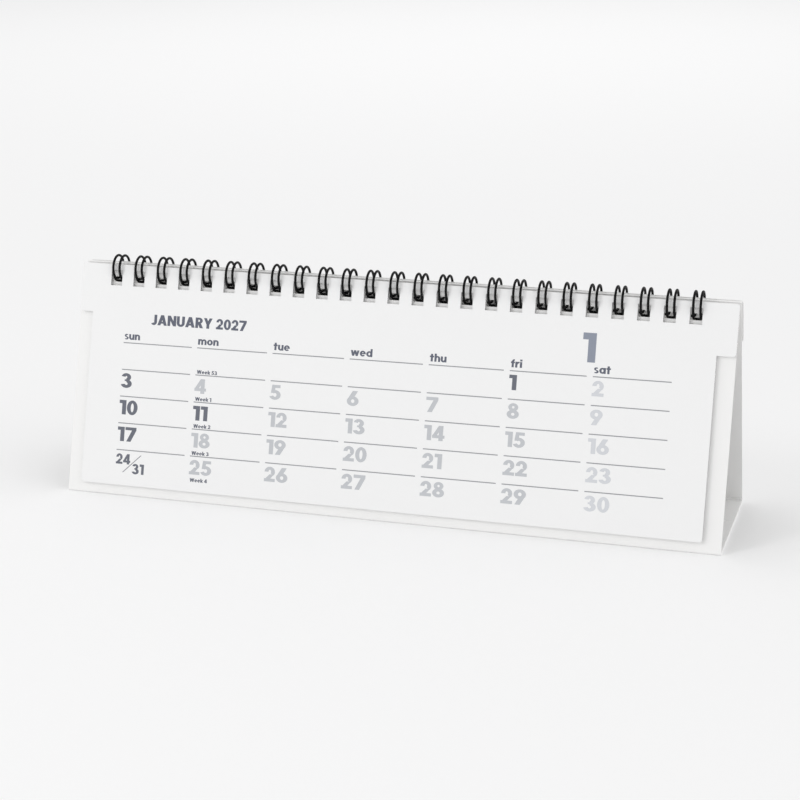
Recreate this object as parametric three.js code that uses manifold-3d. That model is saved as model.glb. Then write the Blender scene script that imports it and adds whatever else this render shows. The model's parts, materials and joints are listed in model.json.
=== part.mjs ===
// Desk calendar on a tent stand: month sheets and a cover turn on a black twin-loop wire.
// Millimetres, +Z up, +Y to the rear, the printed side faces -Y.
// The origin lies on the table, under the middle of the whole object.
import * as THREE from "three";
import { mergeVertices } from "three/addons/utils/BufferGeometryUtils.js";
import Module from "manifold-3d";

// Driving dimensions of the stand, one strip of board scored across three times
const boardWidth = 231;
const boardThickness = 0.8;
const frontSlope = 74.4;
const frontLength = 80;
const baseDepth = 54;
const middleScore = 31.5;
const scoreGap = 0.1;
const rearFaceToRing = 2.9;

// Driving dimensions of the leaves: a band across the top, and a narrower printed part below it
const sheetMargin = 1.0;
const sheetWidth = boardWidth - 2 * sheetMargin;
const sheetHeight = 76.5;
const sheetInset = 5.1;
const bandHeight = 16.0;
const sheetThickness = 0.1;
const sheetGap = 0.02;
const firstSheetGap = 0.05;
const cornerRadius = 1.0;
const notchRadius = 0.8;
const coverWidth = boardWidth;
const coverThickness = 0.25;
const coverGap = 0.3;
const coverRise = 0.4;

// Driving dimensions of the twin-loop wire and of the punched holes it runs through
const bareEnd = 8;
const pairPitch = 25.4 / 3;
const pairCount = Math.floor((sheetWidth - 2 * bareEnd) / pairPitch);
const loopRadius = 4.25;
const wireDiameter = 0.8;
const loopSpacing = 2.3;
const rootBend = 0.9;
const tipToRoot = 0.6;
const wireEnd = 0.8;
const ringBehindFace = 1.7;
const holeWidth = 4.0;
const holeHeight = 4.5;
const holeToEdge = 2.0;

// Fineness of curved parts
const wireSides = 5;
const loopSteps = 12;
const tipSteps = 4;
const rootSteps = 2;
const cornerSteps = 2;

const monthNames = [
  "january", "february", "march", "april", "may", "june",
  "july", "august", "september", "october", "november", "december",
];

const boardWhite = { color: 0xf4f3f0, roughness: 0.85, metalness: 0 };
const paperWhite = { color: 0xf7f6f3, roughness: 0.9, metalness: 0 };
const wireBlack = { color: 0x17181b, roughness: 0.38, metalness: 0.2 };

const wasm = await Module();
wasm.setup();

const radians = THREE.MathUtils.degToRad;
const firstPairX = (-(pairCount - 1) / 2) * pairPitch;
const pairX = (index) => firstPairX + index * pairPitch;

// Directions in the Y-Z plane: up along the front board, and out of its printed side
const frontAngle = radians(frontSlope);
const frontUp = new THREE.Vector3(0, Math.cos(frontAngle), Math.sin(frontAngle));
const frontOut = new THREE.Vector3(0, -Math.sin(frontAngle), Math.cos(frontAngle));
const along = (start, direction, distance) => start.clone().addScaledVector(direction, distance);

// The ring axis runs level with the boards' top edges, just behind the front board's face
const frontFoot = new THREE.Vector3(0, 0, 0);
const frontTop = along(frontFoot, frontUp, frontLength);
const ringAxis = along(frontTop, frontOut, -ringBehindFace);

// The rear board leans on the loops: its outer face passes the ring axis at a fixed distance
const rearFoot = new THREE.Vector3(0, baseDepth, 0);
const rearToAxis = ringAxis.clone().sub(rearFoot);
const rearLength = Math.sqrt(rearToAxis.lengthSq() - rearFaceToRing ** 2);
const rearAngle = Math.atan2(rearToAxis.z, rearToAxis.y) - Math.asin(rearFaceToRing / rearToAxis.length());
const rearUp = new THREE.Vector3(0, Math.cos(rearAngle), Math.sin(rearAngle));
const rearOut = new THREE.Vector3(0, Math.sin(rearAngle), -Math.cos(rearAngle));

function makeMesh(name, geometry, finish) {
  const mesh = new THREE.Mesh(geometry, new THREE.MeshStandardMaterial(finish));
  mesh.name = name;
  return mesh;
}

function toSolid(geometry) {
  const bare = geometry.clone();
  bare.deleteAttribute("normal");
  bare.deleteAttribute("uv");
  const merged = mergeVertices(bare, 1e-4);
  return new wasm.Manifold(new wasm.Mesh({
    numProp: 3,
    vertProperties: new Float32Array(merged.attributes.position.array),
    triVerts: new Uint32Array(merged.index.array),
  }));
}

function toGeometry(solid) {
  const mesh = solid.getMesh();
  const geometry = new THREE.BufferGeometry();
  geometry.setAttribute("position", new THREE.BufferAttribute(new Float32Array(mesh.vertProperties), 3));
  geometry.setIndex(Array.from(mesh.triVerts));
  geometry.computeVertexNormals();
  return geometry;
}

// A panel of the stand: its section in the Y-Z plane, drawn out across the full width
function panelGeometry(section) {
  const shape = new THREE.Shape(section.map((point) => new THREE.Vector2(point.y, point.z)));
  const geometry = new THREE.ExtrudeGeometry(shape, { depth: boardWidth, bevelEnabled: false });
  geometry.translate(0, 0, -boardWidth / 2);
  const across = new THREE.Vector3(1, 0, 0);
  const depth = new THREE.Vector3(0, 1, 0);
  const height = new THREE.Vector3(0, 0, 1);
  geometry.applyMatrix4(new THREE.Matrix4().makeBasis(depth, height, across));
  return geometry;
}

// Two panels meet at a score: each ends on the line that halves the angle between them
function scoreSetback(angleBetween) {
  const half = angleBetween / 2;
  return { outer: scoreGap / 2 / Math.sin(half), inner: boardThickness / Math.tan(half) };
}

const frontSetback = scoreSetback(frontAngle);
const rearSetback = scoreSetback(Math.PI - rearAngle);
const toRear = new THREE.Vector3(0, 1, 0);
const toTop = new THREE.Vector3(0, 0, 1);

// An upright panel with its row of square holes along the top edge
function punchedBoard(foot, up, out, length, setback) {
  const inside = (distance) => along(along(foot, up, distance), out, -boardThickness);
  const section = [
    along(foot, up, setback.outer),
    inside(setback.outer + setback.inner),
    inside(length),
    along(foot, up, length),
  ];
  let board = toSolid(panelGeometry(section));
  const punchLength = boardThickness * 4;
  const holeCentre = length - holeToEdge - holeHeight / 2;
  const turn = new THREE.Matrix4().makeBasis(new THREE.Vector3(1, 0, 0), up, new THREE.Vector3(1, 0, 0).cross(up));
  for (let index = 0; index < pairCount; index += 1) {
    const punch = new THREE.BoxGeometry(holeWidth, holeHeight, punchLength);
    const centre = along(along(foot, up, holeCentre), out, -boardThickness / 2);
    punch.applyMatrix4(turn);
    punch.translate(pairX(index), centre.y, centre.z);
    board = board.subtract(toSolid(punch));
  }
  return toGeometry(board);
}

function frontBoard() {
  return makeMesh(
    "front_board",
    punchedBoard(frontFoot, frontUp, frontOut, frontLength, frontSetback),
    boardWhite,
  );
}

function rearBoard() {
  return makeMesh(
    "rear_board",
    punchedBoard(rearFoot, rearUp, rearOut, rearLength, rearSetback),
    boardWhite,
  );
}

// The base is scored across, so that the stand can be folded flat before it is set up
function basePanels() {
  const middle = along(frontFoot, toRear, middleScore);
  const frontPart = [
    along(frontFoot, toRear, frontSetback.outer),
    along(middle, toRear, -scoreGap / 2),
    along(along(middle, toRear, -scoreGap / 2), toTop, boardThickness),
    along(along(frontFoot, toRear, frontSetback.outer + frontSetback.inner), toTop, boardThickness),
  ];
  const rearPart = [
    along(middle, toRear, scoreGap / 2),
    along(rearFoot, toRear, -rearSetback.outer),
    along(along(rearFoot, toRear, -rearSetback.outer - rearSetback.inner), toTop, boardThickness),
    along(along(middle, toRear, scoreGap / 2), toTop, boardThickness),
  ];
  return [
    makeMesh("base_front_panel", panelGeometry(frontPart), boardWhite),
    makeMesh("base_rear_panel", panelGeometry(rearPart), boardWhite),
  ];
}

// A leaf lying flat, top edge at y = 0, with a step in below the band and its row of holes
function leafGeometry(width, thickness) {
  const halfBand = width / 2;
  const halfBody = sheetWidth / 2 - sheetInset;
  const corners = [
    { x: -halfBand, y: 0, radius: cornerRadius },
    { x: halfBand, y: 0, radius: cornerRadius },
    { x: halfBand, y: -bandHeight, radius: cornerRadius },
    { x: halfBody, y: -bandHeight, radius: notchRadius },
    { x: halfBody, y: -sheetHeight, radius: cornerRadius },
    { x: -halfBody, y: -sheetHeight, radius: cornerRadius },
    { x: -halfBody, y: -bandHeight, radius: notchRadius },
    { x: -halfBand, y: -bandHeight, radius: cornerRadius },
  ];
  const outline = [];
  corners.forEach((corner, index) => {
    const before = corners[(index + corners.length - 1) % corners.length];
    const after = corners[(index + 1) % corners.length];
    const here = new THREE.Vector2(corner.x, corner.y);
    const inward = new THREE.Vector2(before.x, before.y).sub(here).setLength(corner.radius);
    const onward = new THREE.Vector2(after.x, after.y).sub(here).setLength(corner.radius);
    const start = here.clone().add(inward);
    const end = here.clone().add(onward);
    outline.push(...new THREE.QuadraticBezierCurve(start, here, end).getPoints(cornerSteps));
  });
  const sheet = new THREE.ExtrudeGeometry(new THREE.Shape(outline), { depth: thickness, bevelEnabled: false });
  let leaf = toSolid(sheet);
  for (let index = 0; index < pairCount; index += 1) {
    const punch = new THREE.BoxGeometry(holeWidth, holeHeight, thickness * 4);
    punch.translate(pairX(index), -holeToEdge - holeHeight / 2, thickness / 2);
    leaf = leaf.subtract(toSolid(punch));
  }
  return toGeometry(leaf);
}

// The month sheets hang one on another before the front board, december against it
function monthSheets() {
  const frame = new THREE.Group();
  frame.position.copy(frontTop);
  frame.rotation.x = frontAngle;
  const geometry = leafGeometry(sheetWidth, sheetThickness);
  monthNames.forEach((month, index) => {
    const behind = monthNames.length - 1 - index;
    const sheet = makeMesh(`${month}_sheet`, geometry.clone(), paperWhite);
    sheet.position.z = firstSheetGap + behind * (sheetThickness + sheetGap);
    frame.add(sheet);
  });
  return frame;
}

// The cover has been turned over the loops and lies against the rear board
function coverSheet() {
  const frame = new THREE.Group();
  frame.position.copy(along(along(rearFoot, rearUp, rearLength + coverRise), rearOut, coverGap));
  frame.rotation.x = rearAngle;
  const cover = makeMesh("cover_sheet", leafGeometry(coverWidth, coverThickness), paperWhite);
  cover.position.z = -coverThickness;
  frame.add(cover);
  return frame;
}

// Centre line of the twin-loop wire, unrolled from the cylinder that it lies on.
// "around" is the length along the loop from the crest of the closed tips, which lie
// straight below the ring axis as seen along the front board, forward and up over the top.
function wireRoute() {
  const circumference = 2 * Math.PI * loopRadius;
  const rootLine = circumference - tipToRoot;
  const half = loopSpacing / 2;
  const route = [];
  const arc = (centreX, centreAround, radius, from, to, steps, skipFirst) => {
    for (let step = skipFirst ? 1 : 0; step <= steps; step += 1) {
      const angle = from + ((to - from) * step) / steps;
      const x = centreX + radius * Math.cos(angle);
      const around = centreAround + radius * Math.sin(angle);
      route.push({ x, around, headX: -Math.sin(angle), headAround: Math.cos(angle), turn: Math.sign(to - from) });
    }
  };
  const legSteps = (x, from, to) => {
    for (let step = 1; step < loopSteps; step += 1) {
      route.push({ x, around: from + ((to - from) * step) / loopSteps, headX: 0, headAround: 1, turn: Math.sign(to - from) });
    }
  };
  const legTop = rootLine - rootBend;
  const straight = { headX: 1, headAround: 0, turn: 1 };
  route.push({ x: pairX(0) - half - rootBend - wireEnd, around: rootLine, ...straight });
  for (let index = 0; index < pairCount; index += 1) {
    const x = pairX(index);
    arc(x - half - rootBend, legTop, rootBend, Math.PI / 2, 0, rootSteps, false);
    legSteps(x - half, legTop, half);
    arc(x, half, half, Math.PI, 2 * Math.PI, tipSteps, false);
    legSteps(x + half, half, legTop);
    arc(x + half + rootBend, legTop, rootBend, Math.PI, Math.PI / 2, rootSteps, false);
  }
  route.push({ x: pairX(pairCount - 1) + half + rootBend + wireEnd, around: rootLine, ...straight });
  return route;
}

// One closed tube along the route, its section square to the route at each point
function twinLoopWire() {
  const positions = [];
  const indices = [];
  const centres = [];
  wireRoute().forEach((point) => {
    const angle = point.around / loopRadius;
    const outward = frontOut.clone().multiplyScalar(Math.sin(angle)).addScaledVector(frontUp, -Math.cos(angle));
    const onward = frontOut.clone().multiplyScalar(Math.cos(angle)).addScaledVector(frontUp, Math.sin(angle));
    const centre = along(ringAxis, outward, loopRadius);
    centre.x = point.x;
    centres.push(centre);
    const heading = onward.multiplyScalar(point.headAround * point.turn);
    heading.x += point.headX * point.turn;
    heading.normalize();
    const side = heading.clone().cross(outward);
    for (let corner = 0; corner < wireSides; corner += 1) {
      const turn = (2 * Math.PI * corner) / wireSides;
      const edge = along(centre, outward, (Math.cos(turn) * wireDiameter) / 2);
      edge.addScaledVector(side, (Math.sin(turn) * wireDiameter) / 2);
      positions.push(edge.x, edge.y, edge.z);
    }
  });
  for (let ring = 0; ring < centres.length - 1; ring += 1) {
    for (let corner = 0; corner < wireSides; corner += 1) {
      const next = (corner + 1) % wireSides;
      const a = ring * wireSides + corner;
      const b = ring * wireSides + next;
      const c = a + wireSides;
      const d = b + wireSides;
      indices.push(a, b, d, a, d, c);
    }
  }
  const lastRing = (centres.length - 1) * wireSides;
  for (let corner = 1; corner < wireSides - 1; corner += 1) {
    indices.push(0, corner + 1, corner);
    indices.push(lastRing, lastRing + corner, lastRing + corner + 1);
  }
  const geometry = new THREE.BufferGeometry();
  geometry.setAttribute("position", new THREE.BufferAttribute(new Float32Array(positions), 3));
  geometry.setIndex(indices);
  geometry.computeVertexNormals();
  console.log(`wire: least gap to itself ${leastGap(centres).toFixed(2)} mm`);
  return makeMesh("twin_loop_wire", geometry, wireBlack);
}

// Least gap between two stretches of the wire that don't follow on from each other
function leastGap(centres) {
  const reach = 3 * loopSpacing;
  const finePoints = [];
  let travelled = 0;
  for (let index = 1; index < centres.length; index += 1) {
    const step = centres[index].distanceTo(centres[index - 1]);
    const pieces = Math.max(1, Math.ceil(step / (wireDiameter / 2)));
    for (let piece = 0; piece < pieces; piece += 1) {
      const point = centres[index - 1].clone().lerp(centres[index], piece / pieces);
      finePoints.push({ point, at: travelled + (step * piece) / pieces });
    }
    travelled += step;
  }
  let least = Infinity;
  finePoints.forEach((first, index) => {
    for (let other = index + 1; other < finePoints.length; other += 1) {
      const second = finePoints[other];
      if (second.point.x - first.point.x > 2 * pairPitch) break;
      if (second.at - first.at < reach) continue;
      least = Math.min(least, first.point.distanceTo(second.point) - wireDiameter);
    }
  });
  return least;
}

const calendar = new THREE.Group();
calendar.name = "desk_calendar";
calendar.add(frontBoard(), ...basePanels(), rearBoard(), twinLoopWire(), monthSheets(), coverSheet());

// Set the origin on the table, under the middle of the whole object
const extent = new THREE.Box3().setFromObject(calendar, true);
const middle = extent.getCenter(new THREE.Vector3());
calendar.position.set(-middle.x, -middle.y, -extent.min.z);

export default calendar;
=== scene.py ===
"""A desk calendar on a tent stand: folded board, month leaves, print and twin-loop wire.

Sizes are in millimetres, as on a maker's drawing. A mesh is scaled to metres when it is placed.
"""

import json
import logging
import math
from dataclasses import dataclass, field, replace
from enum import Enum

import bmesh
import bpy
from bmesh.types import BMEdge, BMesh, BMVert
from bpy.types import Material, Node, NodeSocket, NodeTree, Object
from mathutils import Matrix, Vector

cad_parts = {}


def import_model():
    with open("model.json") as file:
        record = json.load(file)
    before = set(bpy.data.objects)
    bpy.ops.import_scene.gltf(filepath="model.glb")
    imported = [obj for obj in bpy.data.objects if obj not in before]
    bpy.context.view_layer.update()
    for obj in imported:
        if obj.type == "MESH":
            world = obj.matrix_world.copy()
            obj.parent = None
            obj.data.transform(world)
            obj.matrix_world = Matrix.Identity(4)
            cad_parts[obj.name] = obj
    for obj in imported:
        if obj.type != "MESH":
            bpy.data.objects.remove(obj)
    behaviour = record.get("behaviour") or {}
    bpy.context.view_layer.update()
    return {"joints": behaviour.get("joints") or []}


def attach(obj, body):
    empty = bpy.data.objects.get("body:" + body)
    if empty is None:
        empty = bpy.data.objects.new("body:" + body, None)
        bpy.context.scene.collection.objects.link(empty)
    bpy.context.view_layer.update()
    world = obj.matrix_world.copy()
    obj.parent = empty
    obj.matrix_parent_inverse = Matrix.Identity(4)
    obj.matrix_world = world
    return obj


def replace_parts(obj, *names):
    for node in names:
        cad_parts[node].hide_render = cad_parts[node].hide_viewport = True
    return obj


LOG = logging.getLogger("desk_calendar")
MM = 0.001
ACROSS = Vector((1, 0, 0))
REARWARD = Vector((0, 1, 0))


class Slot(Enum):
    """The record's material slots."""

    BOARD = "board"
    PAPER = "paper"
    WIRE = "wire"


class Ink(Enum):
    """The inks of the printed leaves, each with its colour as seen on paper."""

    SLATE = (0.150, 0.160, 0.192)
    HEADING = (0.125, 0.136, 0.175)
    NUMERAL = (0.275, 0.300, 0.365)
    WEEKDAY = (0.545, 0.560, 0.585)
    SATURDAY = (0.660, 0.675, 0.705)
    RULE = (0.300, 0.305, 0.325)


# ---- finishes ----


@dataclass(frozen=True)
class Noise:
    """A noise texture on the object's own coordinates, its scale in features per metre."""

    scale: float
    detail: float
    roughness: float
    distortion: float = 0.0

    def add(self, tree: NodeTree) -> NodeSocket:
        """Add the texture to a node tree.

        Args:
            tree: The tree that gets the nodes.

        Returns:
            The socket with the noise's value.
        """
        place = tree.nodes.new("ShaderNodeTexCoord")
        noise = tree.nodes.new("ShaderNodeTexNoise")
        noise.inputs["Scale"].default_value = self.scale
        noise.inputs["Detail"].default_value = self.detail
        noise.inputs["Roughness"].default_value = self.roughness
        noise.inputs["Distortion"].default_value = self.distortion
        tree.links.new(place.outputs["Object"], noise.inputs["Vector"])
        return noise.outputs["Fac"]


CLOUD = Noise(scale=45.0, detail=3.0, roughness=0.55)
FIBRE = Noise(scale=1600.0, detail=4.0, roughness=0.7, distortion=1.5)
PEEL = Noise(scale=2600.0, detail=2.0, roughness=0.5)
FIBRE_ROUGHNESS = 0.18
PULP_GLOSS = 0.3
BUMP_DEPTH = 0.00002


def math_node(tree: NodeTree, operation: str, first: object, second: object) -> NodeSocket:
    """Add a Math node.

    Args:
        tree: The tree that gets the node.
        operation: The Math node's operation.
        first: A socket or a number for the first input.
        second: A socket or a number for the second input.

    Returns:
        The node's output socket.
    """
    node = tree.nodes.new("ShaderNodeMath")
    node.operation = operation
    for index, value in enumerate((first, second)):
        if isinstance(value, (int, float)):
            node.inputs[index].default_value = value
        else:
            tree.links.new(value, node.inputs[index])
    return node.outputs[0]


def paper_fibre_group() -> NodeTree:
    """Build the group for pulp: faint mottling, fine fibres and a little tooth.

    Returns:
        A group that puts out colour, roughness and height.
    """
    group = bpy.data.node_groups.new("paper_fibre", "ShaderNodeTree")
    for way, sockets in (
        ("INPUT", {"Tint": "Color", "Mottle": "Float", "Base Roughness": "Float"}),
        ("OUTPUT", {"Color": "Color", "Roughness": "Float", "Height": "Float"}),
    ):
        for name, kind in sockets.items():
            group.interface.new_socket(name=name, in_out=way, socket_type=f"NodeSocket{kind}")
    source = group.nodes.new("NodeGroupInput")
    sink = group.nodes.new("NodeGroupOutput")
    cloud, fibre = CLOUD.add(group), FIBRE.add(group)
    both = math_node(group, "ADD", cloud, fibre)
    centred = math_node(group, "SUBTRACT", both, 1.0)
    swing = math_node(group, "MULTIPLY", centred, source.outputs["Mottle"])
    shade = math_node(group, "ADD", swing, 1.0)
    tinted = group.nodes.new("ShaderNodeVectorMath")
    tinted.operation = "SCALE"
    group.links.new(source.outputs["Tint"], tinted.inputs[0])
    group.links.new(shade, tinted.inputs["Scale"])
    group.links.new(tinted.outputs[0], sink.inputs["Color"])
    spread = math_node(group, "SUBTRACT", fibre, 0.5)
    spread = math_node(group, "MULTIPLY", spread, FIBRE_ROUGHNESS)
    rough = math_node(group, "ADD", source.outputs["Base Roughness"], spread)
    group.links.new(rough, sink.inputs["Roughness"])
    group.links.new(fibre, sink.inputs["Height"])
    return group


def new_material(name: str, gloss: float) -> tuple[Material, NodeTree, Node]:
    """Make a material with a Principled shader.

    Args:
        name: The material's name.
        gloss: The shader's specular level.

    Returns:
        The material, its node tree and its shader.
    """
    made = bpy.data.materials.new(name)
    made.use_nodes = True
    shader = made.node_tree.nodes["Principled BSDF"]
    shader.inputs["Specular IOR Level"].default_value = gloss
    return made, made.node_tree, shader


def add_bump(tree: NodeTree, height: NodeSocket, strength: float) -> None:
    """Raise and lower a material's surface a little.

    Args:
        tree: The material's node tree.
        height: The socket that gives the height.
        strength: The bump's strength.
    """
    bump = tree.nodes.new("ShaderNodeBump")
    bump.inputs["Strength"].default_value = strength
    bump.inputs["Distance"].default_value = BUMP_DEPTH
    tree.links.new(height, bump.inputs["Height"])
    tree.links.new(bump.outputs["Normal"], tree.nodes["Principled BSDF"].inputs["Normal"])


@dataclass(frozen=True)
class PulpFinish:
    """The finish of a board or paper surface."""

    name: str
    tint: tuple[float, float, float]
    mottle: float
    roughness: float
    tooth: float

    def material(self, fibre: NodeTree) -> Material:
        """Make the material.

        Args:
            fibre: The shared pulp group.

        Returns:
            The material, with its colour, roughness and tooth from the group.
        """
        made, tree, shader = new_material(self.name, PULP_GLOSS)
        pulp = tree.nodes.new("ShaderNodeGroup")
        pulp.node_tree = fibre
        pulp.inputs["Tint"].default_value = (*self.tint, 1.0)
        pulp.inputs["Mottle"].default_value = self.mottle
        pulp.inputs["Base Roughness"].default_value = self.roughness
        tree.links.new(pulp.outputs["Color"], shader.inputs["Base Color"])
        tree.links.new(pulp.outputs["Roughness"], shader.inputs["Roughness"])
        add_bump(tree, pulp.outputs["Height"], self.tooth)
        return made


@dataclass(frozen=True)
class WireFinish:
    """Black coating on the binding wire, satin with a faint orange-peel."""

    name: str = "wire_black_coating"
    tint: tuple[float, float, float] = (0.003, 0.003, 0.0035)
    gloss: float = 0.13
    roughness: float = 0.5
    roughness_swing: float = 0.16
    peel: float = 0.12

    def material(self) -> Material:
        """Make the material.

        Returns:
            The material, its roughness and height broken up by noise.
        """
        made, tree, shader = new_material(self.name, self.gloss)
        shader.inputs["Base Color"].default_value = (*self.tint, 1.0)
        peel = PEEL.add(tree)
        swing = math_node(tree, "MULTIPLY", peel, self.roughness_swing)
        least = self.roughness - self.roughness_swing / 2
        tree.links.new(math_node(tree, "ADD", swing, least), shader.inputs["Roughness"])
        add_bump(tree, peel, self.peel)
        return made


# ---- meshes, sizes and the places that follow from them ----

CUT_TOLERANCE = 1e-5
CORNER_TOLERANCE = 1e-4


@dataclass(frozen=True)
class Punching:
    """The row of rectangular holes along the top of a board or leaf."""

    count: int = 25
    pitch: float = 25.4 / 3
    width: float = 4.2
    height: float = 5.4
    to_edge: float = 1.1
    offset: float = -0.24

    def centres(self) -> list[float]:
        """Return the holes' centres across the width."""
        middle = (self.count - 1) / 2
        return [self.offset + (index - middle) * self.pitch for index in range(self.count)]

    def punch(self, mesh: BMesh, edge: float, inward: float) -> None:
        """Cut the row of holes in a flat mesh.

        Args:
            mesh: A flat mesh in X and Y.
            edge: Y of the edge that the row runs along.
            inward: 1 or -1, the way from that edge into the sheet.
        """
        near = edge + inward * self.to_edge
        far = near + inward * self.height
        for height in (near, far):
            cut(mesh, Vector((0, height, 0)), REARWARD)
        for centre in self.centres():
            for side in (-1, 1):
                cut(mesh, Vector((centre + side * self.width / 2, 0, 0)), ACROSS)
        low, high = min(near, far), max(near, far)
        lost = []
        for face in mesh.faces:
            middle = face.calc_center_median()
            from_centre = min(abs(middle.x - centre) for centre in self.centres())
            if low < middle.y < high and from_centre < self.width / 2:
                lost.append(face)
        bmesh.ops.delete(mesh, geom=lost, context="FACES")


def cut(mesh: BMesh, point: Vector, normal: Vector) -> None:
    """Cut a mesh along a plane, keeping both sides.

    Args:
        mesh: The mesh.
        point: A point of the plane.
        normal: The plane's normal.
    """
    geometry = [*mesh.verts, *mesh.edges, *mesh.faces]
    bmesh.ops.bisect_plane(
        mesh, geom=geometry, dist=CUT_TOLERANCE, plane_co=point, plane_no=normal
    )


def flat_sheet(width: float, low: float, high: float) -> BMesh:
    """Start a flat rectangle in X and Y.

    Args:
        width: Size across, centred on X = 0.
        low: Lowest Y.
        high: Highest Y.

    Returns:
        A new mesh with one face.
    """
    mesh = bmesh.new()
    bmesh.ops.create_grid(mesh, x_segments=1, y_segments=1, size=0.5)
    bmesh.ops.scale(mesh, vec=Vector((width, high - low, 1)), verts=mesh.verts)
    bmesh.ops.translate(mesh, vec=Vector((0, (low + high) / 2, 0)), verts=mesh.verts)
    return mesh


def thicken(mesh: BMesh, thickness: float) -> None:
    """Give a flat mesh its thickness along +Z, with its faces pointing outwards.

    Args:
        mesh: A flat mesh in X and Y.
        thickness: How far it grows.
    """
    grown = bmesh.ops.extrude_face_region(mesh, geom=mesh.faces[:])
    lifted = [item for item in grown["geom"] if isinstance(item, BMVert)]
    bmesh.ops.translate(mesh, vec=Vector((0, 0, thickness)), verts=lifted)
    bmesh.ops.recalc_face_normals(mesh, faces=mesh.faces)


def mesh_object(mesh: BMesh, name: str) -> Object:
    """Turn a finished mesh into an object in the scene.

    Args:
        mesh: The finished mesh. It is freed.
        name: The object's name.

    Returns:
        The object, at the origin.
    """
    data = bpy.data.meshes.new(name)
    mesh.to_mesh(data)
    mesh.free()
    made = bpy.data.objects.new(name, data)
    bpy.context.scene.collection.objects.link(made)
    return made


def place(mesh: BMesh, name: str, materials: list[Material], body: str) -> Object:
    """Turn a finished mesh in millimetres into a piece that rides on a body.

    Args:
        mesh: The finished mesh, in its place. It is freed.
        name: The piece's name.
        materials: Its materials, in slot order.
        body: The body that it moves with.

    Returns:
        The new object, at the origin.
    """
    bmesh.ops.scale(mesh, vec=Vector((MM, MM, MM)), verts=mesh.verts)
    piece = mesh_object(mesh, name)
    for material in materials:
        piece.data.materials.append(material)
    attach(piece, body)
    LOG.info("%s: %d faces, rides on %s", name, len(piece.data.polygons), body)
    return piece


@dataclass
class StandPlan:
    """Where the stand's panels and the ring axis lie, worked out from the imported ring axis."""

    ring_axis: Vector
    width: float = 230.4
    thickness: float = 0.8
    front_slope: float = 74.4
    front_length: float = 80.0
    base_depth: float = 54.0
    middle_score: float = 31.5
    ring_behind_face: float = 1.7
    rear_face_to_ring: float = 2.9
    rear_rise: float = 0.4
    front_up: Vector = field(init=False)
    front_out: Vector = field(init=False)
    front_top: Vector = field(init=False)
    front_foot: Vector = field(init=False)
    rear_foot: Vector = field(init=False)
    rear_up: Vector = field(init=False)
    rear_out: Vector = field(init=False)
    rear_length: float = field(init=False)

    def __post_init__(self) -> None:
        """Work out the directions, corners and the rear panel's length."""
        slope = math.radians(self.front_slope)
        self.front_up = Vector((0, math.cos(slope), math.sin(slope)))
        self.front_out = Vector((0, -math.sin(slope), math.cos(slope)))
        self.front_top = self.ring_axis + self.front_out * self.ring_behind_face
        self.front_foot = self.front_top - self.front_up * self.front_length
        self.rear_foot = self.front_foot + REARWARD * self.base_depth
        to_axis = self.ring_axis - self.rear_foot
        self.rear_length = math.sqrt(to_axis.length_squared - self.rear_face_to_ring**2)
        wedge = math.asin(self.rear_face_to_ring / to_axis.length)
        lean = math.atan2(to_axis.z, to_axis.y) - wedge
        self.rear_up = Vector((0, math.cos(lean), math.sin(lean)))
        self.rear_out = Vector((0, math.sin(lean), -math.cos(lean)))

    def front_matrix(self, offset: float) -> Matrix:
        """Place a flat leaf before the front panel, its top edge level with the panel's."""
        return plane_matrix(self.front_up, self.front_top + self.front_out * offset)

    def rear_matrix(self, offset: float, rise: float) -> Matrix:
        """Place a flat leaf behind the rear panel, its top edge above the panel's by rise."""
        top = self.rear_foot + self.rear_up * (self.rear_length + rise)
        return plane_matrix(self.rear_up, top + self.rear_out * offset)


def plane_matrix(up: Vector, origin: Vector) -> Matrix:
    """Make the matrix that takes X across, Y along up, and Z square to both.

    Args:
        up: The way that Y goes, square to X.
        origin: The place that the origin goes to.

    Returns:
        The matrix.
    """
    square = ACROSS.cross(up)
    matrix = Matrix((ACROSS, up, square)).transposed().to_4x4()
    matrix.translation = origin
    return matrix


# ---- the stand ----


@dataclass
class Crease:
    """A score in the strip: where it lies, the corner it makes, and its bead on the inside."""

    at: float
    corner: Vector
    before: Vector
    after: Vector
    reach: float
    bead: float
    radius: float


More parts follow.
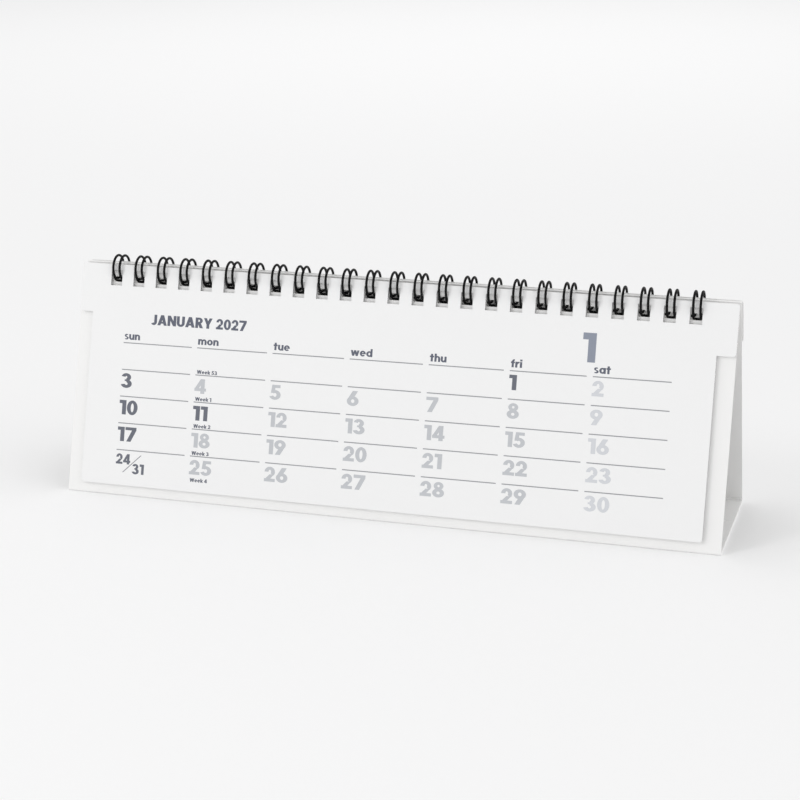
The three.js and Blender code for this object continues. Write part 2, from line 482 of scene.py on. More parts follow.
@dataclass
class FoldedStand:
    """One strip of board, scored three times and folded into a tent."""

    plan: StandPlan
    punching: Punching
    fold_radius: float = 0.5
    fold_reach: float = 1.9
    fold_bead: float = 1.15
    score_reach: float = 0.7
    score_bead: float = 0.3
    bend_steps: int = 12
    sharp_angle: float = 35.0

    def creases(self) -> list[Crease]:
        """Lay out the creases.

        Returns:
            The front fold, the middle score and the rear fold, in strip order.
        """
        plan = self.plan
        front_at = plan.front_length
        rear_at = front_at + plan.base_depth
        middle = plan.front_foot + REARWARD * plan.middle_score
        fold = (self.fold_reach, self.fold_bead, self.fold_radius)
        score = (self.score_reach, self.score_bead, 0.0)
        return [
            Crease(front_at, plan.front_foot, -plan.front_up, REARWARD, *fold),
            Crease(front_at + plan.middle_score, middle, REARWARD, REARWARD, *score),
            Crease(rear_at, plan.rear_foot, REARWARD, plan.rear_up, *fold),
        ]

    def inward(self, direction: Vector) -> Vector:
        """Return the way into the tent, square to a panel that runs along direction."""
        return ACROSS.cross(direction)

    def on_outside(self, along: float, creases: list[Crease]) -> Vector:
        """Return the point of the strip's outer face at a distance along it.

        Args:
            along: Distance from the front panel's top edge.
            creases: The strip's creases.

        Returns:
            The point, in millimetres.
        """
        for crease in creases:
            if crease.radius == 0.0:
                continue
            turn = crease.before.angle(crease.after)
            tangent = crease.radius * math.tan(turn / 2)
            share = (along - crease.at + tangent) / (2 * tangent)
            if 0 < share < 1:
                start = crease.corner - crease.before * tangent
                hub = start + self.inward(crease.before) * crease.radius
                spin = Matrix.Rotation(turn * share, 3, ACROSS)
                return hub + spin @ (start - hub)
        first, middle, last = creases
        if along <= first.at:
            return first.corner - first.before * (first.at - along)
        if along <= last.at:
            return first.corner + first.after * (along - first.at)
        return last.corner + last.after * (along - last.at)

    def on_inside(self, along: float, creases: list[Crease]) -> Vector:
        """Return the point of the strip's inner face, with a rounded bead in each crease.

        Args:
            along: Distance from the front panel's top edge.
            creases: The strip's creases.

        Returns:
            The point, in millimetres.
        """
        thickness = self.plan.thickness
        for crease in creases:
            share = (along - crease.at + crease.reach) / (2 * crease.reach)
            if 0 < share < 1:
                into_before, into_after = self.inward(crease.before), self.inward(crease.after)
                start = crease.corner - crease.before * crease.reach + into_before * thickness
                end = crease.corner + crease.after * crease.reach + into_after * thickness
                first = start + into_before * crease.bead
                second = end + into_after * crease.bead
                rest = 1 - share
                return (
                    start * rest**3
                    + first * (3 * rest**2 * share)
                    + second * (3 * rest * share**2)
                    + end * share**3
                )
        nearest = self.on_outside(along, creases)
        first, _, last = creases
        direction = first.before if along <= first.at else first.after
        if along > last.at:
            direction = last.after
        return nearest + self.inward(direction) * thickness

    def build(self, finish: Material) -> Object:
        """Cut, punch, score and fold the strip.

        Args:
            finish: The board's material.

        Returns:
            The folded stand.
        """
        plan = self.plan
        creases = self.creases()
        ring_level = creases[-1].at + plan.rear_length
        mesh = flat_sheet(plan.width, 0, ring_level + plan.rear_rise)
        self.punching.punch(mesh, 0, 1)
        self.punching.punch(mesh, ring_level, -1)
        for crease in creases:
            for step in range(self.bend_steps + 1):
                offset = crease.reach * (2 * step / self.bend_steps - 1)
                cut(mesh, Vector((0, crease.at + offset, 0)), REARWARD)
        thicken(mesh, plan.thickness)
        for vertex in mesh.verts:
            across, along, depth = vertex.co
            side = self.on_inside if depth > plan.thickness / 2 else self.on_outside
            folded = side(along, creases)
            vertex.co = Vector((across, folded.y, folded.z))
        bmesh.ops.recalc_face_normals(mesh, faces=mesh.faces)
        for face in mesh.faces:
            face.smooth = True
        piece = place(mesh, "folded_stand", [finish], "stand")
        piece.data.set_sharp_from_angle(angle=math.radians(self.sharp_angle))
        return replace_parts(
            piece, "front_board", "base_front_panel", "base_rear_panel", "rear_board"
        )


# ---- the leaves ----


@dataclass
class Leaf:
    """A month sheet or the cover: a wide band at the top, a narrower part below it."""

    name: str
    body: str
    node: str
    place_matrix: Matrix
    punching: Punching
    thickness: float
    width: float = 230.0
    rise: float = 0.9
    height: float = 76.2
    inset: float = 5.5
    skew: float = -0.7
    band: float = 16.1
    bow: float = 0.0
    bow_power: float = 1.6
    bow_twist: float = 0.35
    slip: Vector = field(default_factory=lambda: Vector((0, 0, 0)))
    corner_radius: float = 1.0
    corner_steps: int = 4
    rows: int = 10

    def lift(self, point: Vector) -> float:
        """Work out how far the leaf stands off its plane, as paper that bows a little.

        Args:
            point: A point on the leaf's plane.

        Returns:
            The distance, in millimetres.
        """
        down = max(0.0, (-point.y - self.band) / (self.height - self.band))
        across = point.x / (self.width / 2)
        return self.bow * (down**self.bow_power) * (1 + self.bow_twist * across)

    def bend(self, mesh: BMesh) -> None:
        """Bow a mesh that lies on the leaf's plane, then move it to its place.

        Args:
            mesh: The leaf or its print.
        """
        for vertex in mesh.verts:
            vertex.co = vertex.co + Vector((0, 0, self.lift(vertex.co))) + self.slip
        bmesh.ops.transform(mesh, matrix=self.place_matrix, verts=mesh.verts)

    def outline(self) -> BMesh:
        """Cut the flat leaf with its stepped sides and rounded corners.

        Returns:
            A new flat mesh.
        """
        half_band, half_body = self.width / 2, self.width / 2 - self.inset
        mesh = flat_sheet(self.width, -self.height, self.rise)
        cut(mesh, Vector((0, -self.band, 0)), REARWARD)
        for side in (-1, 1):
            cut(mesh, Vector((side * half_body + self.skew, 0, 0)), ACROSS)
        lost = []
        for face in mesh.faces:
            middle = face.calc_center_median()
            if abs(middle.x - self.skew) > half_body and middle.y < -self.band:
                lost.append(face)
        bmesh.ops.delete(mesh, geom=lost, context="FACES")
        corners = [(side * half_band, y) for side in (-1, 1) for y in (self.rise, -self.band)]
        corners += [(side * half_body + self.skew, -self.height) for side in (-1, 1)]
        tips = [
            vertex
            for vertex in mesh.verts
            if any(math.dist(vertex.co.xy, corner) < CORNER_TOLERANCE for corner in corners)
        ]
        bmesh.ops.bevel(
            mesh,
            geom=tips,
            offset=self.corner_radius,
            offset_type="OFFSET",
            affect="VERTICES",
            segments=self.corner_steps,
            profile=0.5,
            material=-1,
        )
        return mesh

    def build(self, finishes: list[Material]) -> Object:
        """Cut, punch and place the leaf.

        Args:
            finishes: The material of its two sides and of its left and lower edges, then the
                painted shade for its cut edges that face right and up.

        Returns:
            The leaf.
        """
        mesh = self.outline()
        self.punching.punch(mesh, 0, -1)
        for row in range(1, self.rows):
            down = self.band + (self.height - self.band) * row / self.rows
            cut(mesh, Vector((0, -down, 0)), REARWARD)
        thicken(mesh, self.thickness)
        mesh.normal_update()
        for face in mesh.faces:
            # Painted shade: the cut edges that face right and up take the second material, a
            # near-black grey standing in for the shade in the gaps of the stack and under its
            # edges.
            face.material_index = 1 if max(face.normal.x, face.normal.y) > 0.5 else 0
        self.bend(mesh)
        piece = place(mesh, self.name, finishes, self.body)
        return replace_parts(piece, self.node)


# ---- numerals and letters ----


@dataclass(frozen=True)
class Bow:
    """A stroke that follows an ellipse: centre, outer radii, weights and angles in degrees."""

    x: float
    y: float
    across: float
    up: float
    side: float = 26
    crown: float = 20
    start: float = 0.0
    end: float = 360.0

    def ink(self, mesh: BMesh, steps: int) -> list[BMVert]:
        """Draw the stroke as a bent strip of faces.

        Args:
            mesh: The print's mesh.
            steps: How many faces the strip has.

        Returns:
            Its vertices.
        """
        made = bmesh.ops.create_grid(mesh, x_segments=steps, y_segments=1, size=0.5)["verts"]
        for vertex in made:
            angle = math.radians(self.start + (self.end - self.start) * (vertex.co.x + 0.5))
            outer = 0.5 - vertex.co.y
            vertex.co = Vector((
                self.x + (self.across - self.side * outer) * math.cos(angle),
                self.y + (self.up - self.crown * outer) * math.sin(angle),
                0,
            ))
        return made


@dataclass(frozen=True)
class Bar:
    """A straight stroke between two heights, each end given by its left and right edge."""

    low: float
    low_left: float
    low_right: float
    high: float
    high_left: float
    high_right: float

    def ink(self, mesh: BMesh, steps: int) -> list[BMVert]:
        """Draw the stroke as a strip of two faces.

        Args:
            mesh: The print's mesh.
            steps: Not needed for a straight stroke.

        Returns:
            Its vertices.
        """
        made = bmesh.ops.create_grid(mesh, x_segments=1, y_segments=2, size=0.5)["verts"]
        for vertex in made:
            share, right = vertex.co.y + 0.5, vertex.co.x > 0
            foot = self.low_right if right else self.low_left
            head = self.high_right if right else self.high_left
            height = self.low + (self.high - self.low) * share
            vertex.co = Vector((foot + (head - foot) * share, height, 0))
        return made


def block(left: float, low: float, right: float, high: float) -> Bar:
    """Return an upright rectangular stroke."""
    return Bar(low, left, right, high, left, right)


# A glyph's width and its strokes, in hundredths of a capital's height
Glyph = tuple[float, tuple[Bow | Bar, ...]]
STEM = block(0, 0, 26, 100)
SMALL_STEM = block(0, 0, 25, 74)
TALL_STEM = block(0, 0, 25, 104)
TOP_BOWL = (
    Bow(33, 70.5, 33, 29.5, 26, 19, -90, 90),
    block(10, 81, 33, 100),
    block(10, 41, 33, 60),
)
ARCH = (Bow(35, 41, 33, 34.5, 25, 20, 0, 165), block(43, 0, 68, 42))
ROUND = Bow(37, 37, 37, 38, 26, 20)
SIX = (Bow(37, 31.5, 37, 32.5), Bar(45, 5, 38, 100, 34, 66))
GLYPHS: dict[str, Glyph] = {
    "0": (72, (Bow(36, 50, 36, 51),)),
    "1": (46, (block(0, 77, 30, 100), block(19, 0, 46, 100))),
    "2": (71, (
        Bow(34.5, 66.5, 33.5, 34.5, 25, 20, -42, 180),
        Bar(10, 0, 32, 50, 34, 62), block(0, 0, 70, 21),
    )),
    "3": (74, (
        Bow(34, 73.5, 32, 27.5, 26, 19, -88, 170),
        Bow(36, 28.5, 37, 29.5, 28, 20, -168, 92), block(24, 46, 38, 58),
    )),
    "4": (76, (Bar(30, 0, 26, 100, 38, 62), block(0, 17, 76, 37), block(40, 0, 66, 100))),
    "5": (70, (
        block(13, 80, 66, 100), Bar(44, 7, 30, 100, 13, 36),
        Bow(33, 32, 37, 33, 26, 20, -158, 135),
    )),
    "6": (74, SIX),
    "7": (74, (block(0, 79, 74, 100), Bar(0, 10, 39, 80, 45, 74))),
    "8": (73, (Bow(36.5, 74.5, 30, 26.5, 22.5, 18), Bow(36.5, 28.5, 36.5, 29.5))),
    "9": (74, SIX),
    "A": (88, (Bar(0, 0, 28, 100, 30, 58), Bar(0, 60, 88, 100, 30, 58), block(20, 18, 68, 36))),
    "B": (68, (STEM, *TOP_BOWL, Bow(34, 29.5, 34, 29.5, 26, 19, -90, 90), block(10, 0, 34, 19))),
    "C": (80, (Bow(50, 50, 50, 51, 28, 21, 52, 308),)),
    "D": (80, (
        STEM, Bow(30, 50, 50, 50, 27, 21, -90, 90), block(10, 0, 30, 21),
        block(10, 79, 30, 100),
    )),
    "E": (56, (STEM, block(10, 0, 56, 21), block(10, 40, 53, 60), block(10, 79, 56, 100))),
    "F": (54, (STEM, block(10, 40, 51, 60), block(10, 79, 54, 100))),
    "G": (95, (Bow(50, 50, 50, 51, 28, 21, 52, 350), block(52, 36, 97, 54))),
    "H": (76, (STEM, block(10, 40, 60, 60), block(50, 0, 76, 100))),
    "I": (26, (STEM,)),
    "J": (50, (block(24, 30, 50, 100), Bow(22, 30, 28, 31, 26, 21, -150, 0))),
    "L": (52, (STEM, block(10, 0, 52, 21))),
    "M": (96, (
        block(0, 0, 25, 100), block(71, 0, 96, 100), Bar(20, 36, 60, 100, 0, 27),
        Bar(20, 36, 60, 100, 69, 96),
    )),
    "N": (80, (STEM, block(54, 0, 80, 100), Bar(0, 53, 80, 100, 0, 27))),
    "O": (98, (Bow(49, 50, 49, 51, 28, 21),)),
    "P": (66, (STEM, *TOP_BOWL)),
    "R": (70, (STEM, *TOP_BOWL, Bar(0, 42, 72, 46, 20, 50))),
    "S": (62, (
        Bow(31, 73.5, 29, 27.5, 25, 19, 35, 270),
        Bow(31, 28.5, 31, 29.5, 26, 20, -145, 90),
    )),
    "T": (64, (block(0, 79, 64, 100), block(19, 0, 45, 100))),
    "U": (74, (
        block(0, 34, 26, 100), block(48, 34, 74, 100),
        Bow(37, 35, 37, 36, 26, 21, 180, 360),
    )),
    "V": (84, (Bar(0, 28, 56, 100, 0, 28), Bar(0, 28, 56, 100, 56, 84))),
    "W": (120, (
        Bar(0, 20, 46, 100, 0, 26), Bar(0, 20, 46, 100, 47, 73),
        Bar(0, 74, 100, 100, 47, 73), Bar(0, 74, 100, 100, 94, 120),
    )),
    "Y": (80, (Bar(38, 27, 53, 100, 0, 28), Bar(38, 27, 53, 100, 52, 80), block(27, 0, 53, 40))),
    "a": (74, (ROUND, block(50, 0, 74, 74))),
    "d": (74, (ROUND, block(50, 0, 74, 104))),
    "e": (72, (Bow(36, 37, 36, 38, 26, 19, 0, 318), block(15, 30, 72, 45))),
    "f": (46, (block(10, 0, 35, 74), Bow(40, 72, 30, 32, 25, 20, 82, 180), block(0, 54, 46, 74))),
    "h": (68, (TALL_STEM, *ARCH)),
    "i": (26, (SMALL_STEM, block(0, 82, 26, 105))),
    "k": (66, (TALL_STEM, Bar(30, 18, 40, 74, 38, 68), Bar(0, 38, 68, 46, 18, 44))),
    "m": (106, (
        SMALL_STEM, Bow(33, 41, 31, 34.5, 25, 20, 0, 165), block(40, 0, 64, 42),
        Bow(75, 41, 31, 34.5, 25, 20, 0, 150), block(82, 0, 106, 42),
    )),
    "n": (68, (SMALL_STEM, *ARCH)),
    "o": (74, (ROUND,)),
    "r": (48, (SMALL_STEM, Bow(42, 36, 40, 39, 26, 20, 80, 165))),
    "s": (54, (Bow(27, 54, 25, 21, 22, 15, 30, 270), Bow(27, 21, 27, 22, 23, 15, -150, 90))),
    "t": (50, (block(12, 0, 37, 98), block(0, 54, 50, 74))),
    "u": (68, (
        block(43, 0, 68, 74), block(0, 33, 25, 74),
        Bow(33, 33, 33, 34.5, 25, 20, 180, 345),
    )),
    "w": (104, (
        Bar(0, 18, 42, 74, 0, 25), Bar(0, 18, 42, 74, 40, 64),
        Bar(0, 62, 86, 74, 40, 64), Bar(0, 62, 86, 74, 79, 104),
    )),
    " ": (22, ()),
}  # fmt: skip


@dataclass(frozen=True)
class TypeSize:
    """A size of type: the height of a capital or numeral, and a factor on the width."""

    height: float
    stretch: float = 1.0


@dataclass
class Pen:
    """Draws numerals and letters as flat ink, in one heavy geometric style."""

    spacing: float = 5
    steps: int = 24
    coarse_up_to: float = 3.0
    layer: float = 0.002

    def width(self, text: str, size: TypeSize) -> float:
        """Return how wide a word or number is when it isn't stretched."""
        hundredths = sum(GLYPHS[sign][0] for sign in text) + self.spacing * (len(text) - 1)
        return size.height * hundredths / 100

    def draw(self, mesh: BMesh, text: str, corner: Vector, size: TypeSize) -> list[BMVert]:
        """Draw a word or number, each stroke of a sign a little above the one before.

        Args:
            mesh: The print's mesh.
            text: The word or number.
            corner: The lower left corner.
            size: The size of the type.

        Returns:
            The vertices drawn.
        """
        drawn = []
        steps = self.steps if size.height > self.coarse_up_to else self.steps // 2
        up = size.height / 100
        across = up * size.stretch
        for sign in text:
            width, strokes = GLYPHS[sign]
            for layer, stroke in enumerate(strokes):
                inked = stroke.ink(mesh, steps)
                for vertex in inked:
                    x, y = vertex.co.xy
                    if sign == "9":
                        x, y = width - x, 100 - y
                    vertex.co = corner + Vector((x * across, y * up, self.layer * layer))
                drawn += inked
            corner = corner + Vector(((width + self.spacing) * across, 0, 0))
        return drawn


@dataclass(frozen=True)
class Month:
    """A month: name, weekday of the first (0 is Sunday), days, first week and holidays."""

    name: str
    first_weekday: int
    days: int
    first_week: int
    holidays: tuple[int, ...] = ()


YEAR = (
    Month("january", 5, 31, 53, (1, 11)),
    Month("february", 1, 28, 5, (11, 23)),
    Month("march", 1, 31, 9, (21, 22)),
    Month("april", 4, 30, 13, (29,)),
    Month("may", 6, 31, 17, (3, 4, 5)),
    Month("june", 2, 30, 22),
    Month("july", 4, 31, 26, (19,)),
    Month("august", 0, 31, 31, (11,)),
    Month("september", 3, 30, 35, (20, 23)),
    Month("october", 5, 31, 39, (11,)),
    Month("november", 1, 30, 44, (3, 23)),
    Month("december", 3, 31, 48),
)
YEAR_NUMBER = "2027"
WEEKS_LAST_YEAR = 53
WEEKDAYS = ("sun", "mon", "tue", "wed", "thu", "fri", "sat")
SUNDAY, SATURDAY = 0, 6


@dataclass
class MonthPrint:
    """The print of a month's leaf, laid out from the lower edge of its row of holes."""

    number: int
    month: Month
    pen: Pen
    mesh: BMesh = field(init=False, default_factory=bmesh.new)
    left: float = -97.478
    column: float = 27.826
    first_rule: float = -19.465
    row: float = 9.388
    rows: int = 5
    rule_length: float = 25.799
    rule_weight: float = 0.34
    rule_steps: int = 8
    day: TypeSize = TypeSize(5.05, 1.12)
    day_drop: float = 6.35
    small_day: TypeSize = TypeSize(3.6)
    upper_day: tuple[float, float] = (0.05, 1.35)
    lower_day: tuple[float, float] = (6.35, 4.55)
    slash: Bar = Bar(-7.8, 2.65, 3.1, -1.45, 9.25, 9.7)
    weekday: TypeSize = TypeSize(2.6, 1.14)
    weekday_place: tuple[float, float] = (0.2, 1.15)
    week: TypeSize = TypeSize(1.3, 1.1)
    week_place: tuple[float, float] = (0.5, 0.45)
    heading: TypeSize = TypeSize(3.6, 1.13)
    heading_place: tuple[float, float] = (-87.4, -12.6)
    year: TypeSize = TypeSize(3.6, 1.03)
    year_gap: float = 1.4
    big_number: TypeSize = TypeSize(9.65)
    big_number_right: float = 69.85
    big_number_foot: float = -14.92
    turn: float = math.radians(0.2)
    height_above_paper: float = 0.008

    def paint(self, made: list[BMVert], ink: Ink) -> None:
        """Give the faces of some new vertices an ink.

        Args:
            made: The vertices.
            ink: Their ink.
        """
        self.mesh.verts.index_update()
        index = list(Ink).index(ink)
        for vertex in made:
            for face in vertex.link_faces:
                face.material_index = index

    def write(
        self,
        text: str,
        corner: tuple[float, float],
        size: TypeSize,
        ink: Ink,
    ) -> list[BMVert]:
        """Print a word or number.

        Args:
            text: The word or number.
            corner: Its lower left corner.
            size: The size of the type.
            ink: Its ink.

        Returns:
            The vertices drawn.
        """
        made = self.pen.draw(self.mesh, text, Vector((*corner, 0)), size)
        self.paint(made, ink)
        return made

    def rules(self) -> None:
        """Draw a rule over every box of the table."""
        size = Vector((self.rule_length, self.rule_weight, 1))
        for column in range(len(WEEKDAYS)):
            for row in range(self.rows):
                made = bmesh.ops.create_grid(
                    self.mesh, x_segments=self.rule_steps, y_segments=1, size=0.5
                )["verts"]
                bmesh.ops.scale(self.mesh, vec=size, verts=made)
                left = self.left + self.column * column
                height = self.first_rule - self.row * row
                middle = Vector((left + self.rule_length / 2, height, 0))
                bmesh.ops.translate(self.mesh, vec=middle, verts=made)
                self.paint(made, Ink.RULE)

    def ink_for(self, day: int, column: int) -> Ink:
        """Choose the ink of a day.

        Args:
            day: The day of the month.
            column: Its column in the table.

        Returns:
            Its ink.
        """
        if column == SUNDAY or day in self.month.holidays:
            return Ink.SLATE
        return Ink.SATURDAY if column == SATURDAY else Ink.WEEKDAY

    def dates(self) -> None:
        """Draw the days, the last ones sharing a box where a month needs a sixth row."""
        for day in range(1, self.month.days + 1):
            row, column = divmod(self.month.first_weekday + day - 1, len(WEEKDAYS))
            if row == self.rows:
                continue
            left = self.left + self.column * column
            top = self.first_rule - self.row * row
            ink = self.ink_for(day, column)
            below = day + len(WEEKDAYS)
            if row < self.rows - 1 or below > self.month.days:
                self.write(str(day), (left, top - self.day_drop), self.day, ink)
                continue
            for number, (right, down) in ((day, self.upper_day), (below, self.lower_day)):
                corner = (left + right, top - down - self.small_day.height)
                self.write(str(number), corner, self.small_day, ink)
            made = self.slash.ink(self.mesh, 1)
            bmesh.ops.translate(self.mesh, vec=Vector((left, top, 0)), verts=made)
            self.paint(made, Ink.RULE)

    def labels(self) -> None:
        """Draw the weekday names, the week numbers, the heading and the month's number."""
        right, rise = self.weekday_place
        for column, name in enumerate(WEEKDAYS):
            corner = (self.left + self.column * column + right, self.first_rule + rise)
            self.write(name, corner, self.weekday, Ink.HEADING)
        right, rise = self.week_place
        for row in range(self.rows):
            week = self.month.first_week + row
            if self.number == 1:
                week = (week - 1) % WEEKS_LAST_YEAR + 1
            height = self.first_rule - self.row * (row + 1) + rise
            corner = (self.left + self.column + right, height)
            self.write(f"Week {week}", corner, self.week, Ink.HEADING)
        left, foot = self.heading_place
        heading = self.month.name.upper()
        made = self.write(heading, (left, foot), self.heading, Ink.HEADING)
        start = max(vertex.co.x for vertex in made) + self.year_gap
        self.write(YEAR_NUMBER, (start, foot), self.year, Ink.HEADING)
        text = str(self.number)
        start = self.big_number_right - self.pen.width(text, self.big_number)
        self.write(text, (start, self.big_number_foot), self.big_number, Ink.NUMERAL)

    def build(self, leaf: Leaf, inks: list[Material]) -> Object:
        """Print the month on its leaf.

        Args:
            leaf: The leaf that carries the print.
            inks: The ink materials, in the order of Ink.

        Returns:
            The print.
        """
        self.rules()
        self.dates()
        self.labels()
        holes = leaf.punching
        lift = Matrix.Translation((holes.offset, -holes.to_edge - holes.height, 0))
        lift = lift @ Matrix.Rotation(self.turn, 4, "Z")
        lift.translation.z = leaf.thickness + self.height_above_paper
        bmesh.ops.transform(self.mesh, matrix=lift, verts=self.mesh.verts)
        leaf.bend(self.mesh)
        piece = place(self.mesh, leaf.name.replace("_leaf", "_print"), inks, leaf.body)
        return piece


# ---- the wire ----


@dataclass
class TwinLoopWire:
    """One wire bent into pairs of loops, closed round the boards and leaves."""

    plan: StandPlan
    punching: Punching
    loop_radius: float = 4.25
    diameter: float = 0.86
    spacing: float = 2.38
    root_bend: float = 0.9
    tip_to_root: float = 0.9
    tip_depth: float = 0.75
    tip_flare: float = 0.42
    root_tuck: float = 0.42
    tuck_length: float = 4.5
    end: float = 0.8
    sides: int = 12
    loop_steps: int = 30
    tip_steps: int = 10
    root_steps: int = 5

    def arc(
        self, centre: Vector, radius: float, start: float, end: float, steps: int
    ) -> list[Vector]:
        """Draw an arc of the unrolled route.

        Args:
            centre: The arc's centre, X across and Y along the loop.
            radius: Its radius.
            start: Its first angle, in radians.
            end: Its last angle, in radians.
            steps: How many steps it has.

        Returns:
            The points along the arc.
        """
        angles = [start + (end - start) * step / steps for step in range(steps + 1)]
        spokes = (Vector((math.cos(angle), math.sin(angle), 0)) for angle in angles)
        return [centre + radius * spoke for spoke in spokes]

    def route(self) -> list[Vector]:
        """Draw the wire's centre line, unrolled: X across, Y the length round the loop.

        The length counts from the crest of the closed tips, forward and up over the top.

        Returns:
            The points along the wire.
        """
        root = 2 * math.pi * self.loop_radius - self.tip_to_root
        half, bend, quarter = self.spacing / 2, self.root_bend, math.pi / 2
        shoulder = root - bend
        length = self.tip_depth - shoulder
        steps = range(1, self.loop_steps)
        heights = [shoulder + length * step / self.loop_steps for step in steps]
        centres = self.punching.centres()
        points = [Vector((centres[0] - half - bend - self.end, root, 0))]
        for x in centres:
            left, right = (Vector((x + side * (half + bend), shoulder, 0)) for side in (-1, 1))
            points += self.arc(left, bend, quarter, 0, self.root_steps)
            points += [Vector((x - half, height, 0)) for height in heights]
            for point in self.arc(Vector((x, 0, 0)), half, math.pi, 2 * math.pi, self.tip_steps):
                height = self.tip_depth + point.y * self.tip_depth / half
                points.append(Vector((point.x, height, 0)))
            points += [Vector((x + half, height, 0)) for height in reversed(heights)]
            points += self.arc(right, bend, math.pi, quarter, self.root_steps)
        points.append(Vector((centres[-1] + half + bend + self.end, root, 0)))
        return points

    def ease(self, share: float) -> float:
        """Return a share between 0 and 1, eased at both ends."""
        held = min(max(share, 0.0), 1.0)
        return held * held * (3 - 2 * held)

    def rolled(self, point: Vector) -> tuple[Vector, Vector]:
        """Roll a point of the route round the ring axis.

        Args:
            point: A point of the unrolled route.

        Returns:
            The point in its place, and the way out from the ring axis there.
        """
        angle = point.y / self.loop_radius
        out = self.plan.front_out * math.sin(angle) - self.plan.front_up * math.cos(angle)
        from_root = 2 * math.pi * self.loop_radius - self.tip_to_root - point.y
        flare = self.tip_flare * self.ease(1 - point.y / self.tuck_length)
        tuck = self.root_tuck * self.ease(1 - from_root / self.tuck_length)
        centre = self.plan.ring_axis + out * (self.loop_radius + flare - tuck)
        centre.x = point.x
        return centre, out

    def stations(self) -> list[Matrix]:
        """Set up the wire's cross-sections.

        Returns:
            The matrix of each, with Z along the wire.
        """
        rolled = [self.rolled(point) for point in self.route()]
        matrices = []
        for index, (centre, out) in enumerate(rolled):
            before = rolled[max(index - 1, 0)][0]
            after = rolled[min(index + 1, len(rolled) - 1)][0]
            heading = (after - before).normalized()
            side = heading.cross(out).normalized()
            matrix = Matrix((side, heading.cross(side), heading)).transposed().to_4x4()
            matrix.translation = centre
            matrices.append(matrix)
        return matrices

    def build(self, finish: Material) -> Object:
        """Draw the round section along the route.

        Args:
            finish: The coating's material.

        Returns:
            The wire.
        """
        stations = self.stations()
        mesh = bmesh.new()
        ring = bmesh.ops.create_circle(
            mesh, segments=self.sides, radius=self.diameter / 2, matrix=stations[0]
        )["verts"]
        edges = list({edge for vertex in ring for edge in vertex.link_edges})
        first = edges
        for before, after in zip(stations, stations[1:]):
            grown = bmesh.ops.extrude_edge_only(mesh, edges=edges)["geom"]
            edges = [item for item in grown if isinstance(item, BMEdge)]
            moved = [item for item in grown if isinstance(item, BMVert)]
            bmesh.ops.transform(mesh, matrix=after @ before.inverted(), verts=moved)
        for end in (first, edges):
            bmesh.ops.contextual_create(mesh, geom=end)
        bmesh.ops.recalc_face_normals(mesh, faces=mesh.faces)
        for face in mesh.faces:
            face.smooth = len(face.verts) == 4
        piece = place(mesh, "binding_wire", [finish], "stand")
        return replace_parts(piece, "twin_loop_wire")


# ---- the whole calendar ----

BOARD = PulpFinish("stand_board", (0.905, 0.902, 0.895), mottle=0.02, roughness=0.72, tooth=0.10)
PAPER = PulpFinish("leaf_paper", (0.890, 0.890, 0.890), mottle=0.015, roughness=0.82, tooth=0.14)
CARD = PulpFinish("cover_card", (0.895, 0.893, 0.888), mottle=0.018, roughness=0.75, tooth=0.12)
# Painted shade: a near-black grey put on the leaves' right and top cut edges in place of the
# shade in the gaps between the sheets and the board.
PAINTED_SHADE_EDGE = PulpFinish("leaf_edge", (0.12, 0.12, 0.123), mottle=0.02, roughness=0.9, tooth=0.05)


@dataclass
class Calendar:
    """The calendar: stand, wire, twelve month leaves with their print, and the cover."""

    plan: StandPlan
    punching: Punching = Punching()
    board_punching: Punching = Punching(width=4.0, height=2.3, to_edge=2.9, offset=0.0)
    wire_offset: float = 0.18
    sheet_thickness: float = 0.08
    sheet_gap: float = 0.015
    sheet_bow: float = 0.015
    first_gap: float = 0.05
    slip: float = 0.3
    slip_swing: float = 0.15
    slip_rate: float = 2.4
    drop_swing: float = 0.05
    drop_rate: float = 1.7
    cover_thickness: float = 0.25
    cover_gap: float = 0.3
    cover_rise: float = 0.4
    cover_slip: float = 0.45

    def leaves(self) -> list[Leaf]:
        """Lay out the month leaves, each a hair out of line as a real stack is.

        Returns:
            The leaves, january foremost.
        """
        made = []
        for index, month in enumerate(YEAR):
            behind = len(YEAR) - 1 - index
            offset = self.first_gap + behind * (self.sheet_thickness + self.sheet_gap)
            slip = self.slip - self.slip_swing * abs(math.sin(self.slip_rate * index))
            drop = self.drop_swing * abs(math.sin(self.drop_rate * index))
            made.append(
                Leaf(
                    name=f"{month.name}_leaf",
                    body=month.name,
                    node=f"{month.name}_sheet",
                    place_matrix=self.plan.front_matrix(offset),
                    punching=self.punching,
                    bow=self.sheet_bow * behind,
                    thickness=self.sheet_thickness,
                    slip=Vector((slip, -drop, 0)),
                )
            )
        return made

    def cover(self) -> Leaf:
        """Lay out the cover.

        Returns:
            The cover, turned over the wire to the back.
        """
        offset = self.cover_gap + self.cover_thickness
        return Leaf(
            name="cover_leaf",
            body="cover",
            node="cover_sheet",
            place_matrix=self.plan.rear_matrix(offset, self.cover_rise),
            punching=self.punching,
            width=self.plan.width,
            rise=0.0,
            thickness=self.cover_thickness,
            slip=Vector((self.cover_slip, 0, 0)),
        )

    def build(self) -> None:
        """Build and dress every piece."""
        fibre = paper_fibre_group()
        # edge is the painted shade for the leaves' right and top cut edges.
        board, paper, card, edge = (
            finish.material(fibre) for finish in (BOARD, PAPER, CARD, PAINTED_SHADE_EDGE)
        )
        inks = [
            PulpFinish(
                f"ink_{ink.name.lower()}", ink.value, mottle=0.10, roughness=0.6, tooth=0.08
            ).material(fibre)
            for ink in Ink
        ]
        FoldedStand(self.plan, self.board_punching).build(board)
        wire_row = replace(self.punching, offset=self.wire_offset)
        TwinLoopWire(self.plan, wire_row).build(WireFinish().material())
        pen = Pen()
        for number, (leaf, month) in enumerate(zip(self.leaves(), YEAR), 1):
            # The leaves' right and top cut edges get the painted shade.
            leaf.build([paper, edge])
            MonthPrint(number, month, pen).build(leaf, inks)
        self.cover().build([card, card])


# ---- studio ----


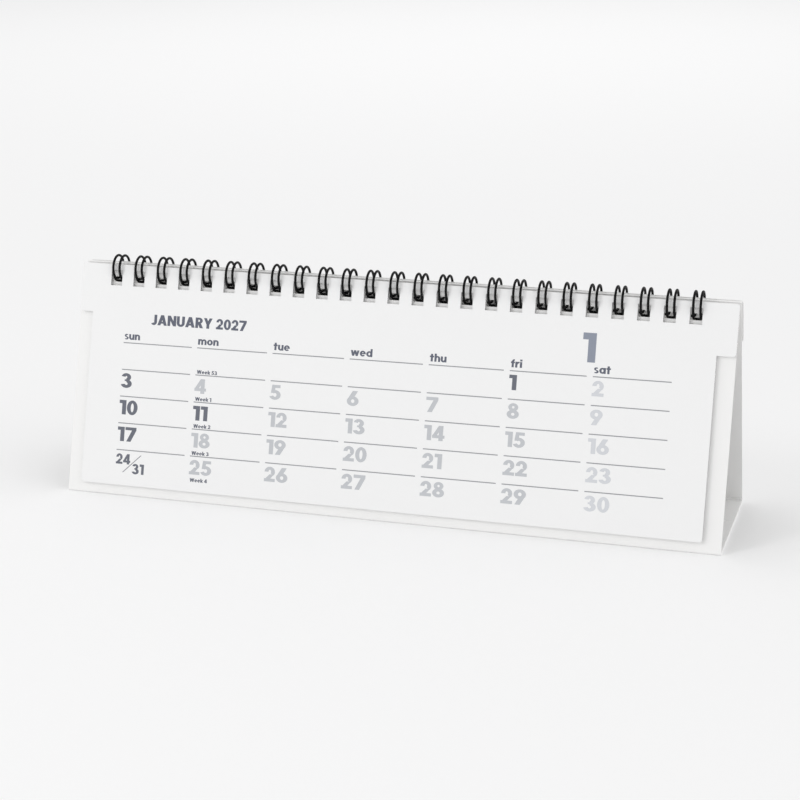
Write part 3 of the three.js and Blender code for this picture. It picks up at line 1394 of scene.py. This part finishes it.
@dataclass(frozen=True)
class Lamp:
    """A square soft light. Places and side are in metres, power in watts, spread in radians."""

    name: str
    place: tuple[float, float, float]
    aim: tuple[float, float, float]
    side: float
    power: float
    spread: float = math.pi

    def hang(self) -> None:
        """Put the lamp in the scene."""
        data = bpy.data.lights.new(self.name, "AREA")
        data.shape = "SQUARE"
        data.size = self.side
        data.energy = self.power
        data.spread = self.spread
        lamp = bpy.data.objects.new(self.name, data)
        bpy.context.scene.collection.objects.link(lamp)
        lamp.location = Vector(self.place)
        lamp.rotation_mode = "QUATERNION"
        lamp.rotation_quaternion = (Vector(self.aim) - lamp.location).to_track_quat("-Z", "Y")


@dataclass
class Studio:
    """Pale floor, soft light and the camera. Its sizes are in metres but for the camera's."""

    plan: StandPlan
    floor_size: float = 12.0
    floor_tint: tuple[float, float, float] = (0.972, 0.972, 0.974)
    floor_roughness: float = 0.9
    floor_gloss: float = 0.1
    world_strength: float = 0.83
    lamps: tuple[Lamp, ...] = (
        Lamp("key", (-0.7, -0.75, 0.7), (0, 0, 0.04), 0.3, 1.9),
        Lamp("back", (-0.25, 1.5, 1.7), (-0.35, 1.4, 0.0), 1.2, 1.2, math.radians(80)),
        Lamp("side", (1.1, -0.45, 0.5), (0.1, 0, 0.03), 0.8, 1.4),
    )
    camera_from_foot: Vector = field(default_factory=lambda: Vector((186.66, -579.4, 225.3)))
    yaw: float = 17.141
    pitch: float = 16.693
    roll: float = 0.365
    sensor: float = 36
    lens_to_sensor: float = 1919 / 800
    clip: tuple[float, float] = (0.01, 50)

    def floor(self) -> None:
        """Lay a wide floor that fills the picture."""
        mesh = bmesh.new()
        bmesh.ops.create_grid(mesh, x_segments=1, y_segments=1, size=self.floor_size / 2)
        floor = mesh_object(mesh, "floor")
        made, _, shader = new_material("floor_white", self.floor_gloss)
        shader.inputs["Base Color"].default_value = (*self.floor_tint, 1.0)
        shader.inputs["Roughness"].default_value = self.floor_roughness
        floor.data.materials.append(made)

    def world(self) -> None:
        """Light the scene evenly from all round."""
        world = bpy.data.worlds.new("studio")
        bpy.context.scene.world = world
        world.use_nodes = True
        back = world.node_tree.nodes["Background"]
        back.inputs["Color"].default_value = (1.0, 1.0, 1.0, 1.0)
        back.inputs["Strength"].default_value = self.world_strength

    def camera(self) -> None:
        """Set the camera at the photograph's viewing angle."""
        yaw, pitch, roll = (math.radians(angle) for angle in (self.yaw, self.pitch, self.roll))
        level = Vector((-math.sin(yaw), math.cos(yaw), 0))
        ahead = level * math.cos(pitch) - Vector((0, 0, math.sin(pitch)))
        right = Vector((math.cos(yaw), math.sin(yaw), 0))
        down = ahead.cross(right)
        turned_right = right * math.cos(roll) + down * math.sin(roll)
        turned_up = right * math.sin(roll) - down * math.cos(roll)
        data = bpy.data.cameras.new("camera")
        data.sensor_width = self.sensor
        data.lens = self.lens_to_sensor * self.sensor
        data.clip_start, data.clip_end = self.clip
        camera = bpy.data.objects.new("camera", data)
        bpy.context.scene.collection.objects.link(camera)
        matrix = Matrix((turned_right, turned_up, -ahead)).transposed().to_4x4()
        matrix.translation = (self.plan.front_foot + self.camera_from_foot) * MM
        camera.matrix_world = matrix
        bpy.context.scene.camera = camera

    def build(self) -> None:
        """Set up the floor, the light and the camera."""
        bpy.context.scene.view_settings.view_transform = "Standard"
        self.floor()
        self.world()
        for lamp in self.lamps:
            lamp.hang()
        self.camera()


def main() -> None:
    """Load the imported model, build the calendar round it and set up the studio."""
    logging.basicConfig(level=logging.INFO, format="%(name)s: %(message)s")
    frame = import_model()
    plan = StandPlan(Vector(frame["joints"][0]["pos_m"]) / MM)
    Calendar(plan).build()
    Studio(plan).build()


if __name__ == "__main__":
    main()
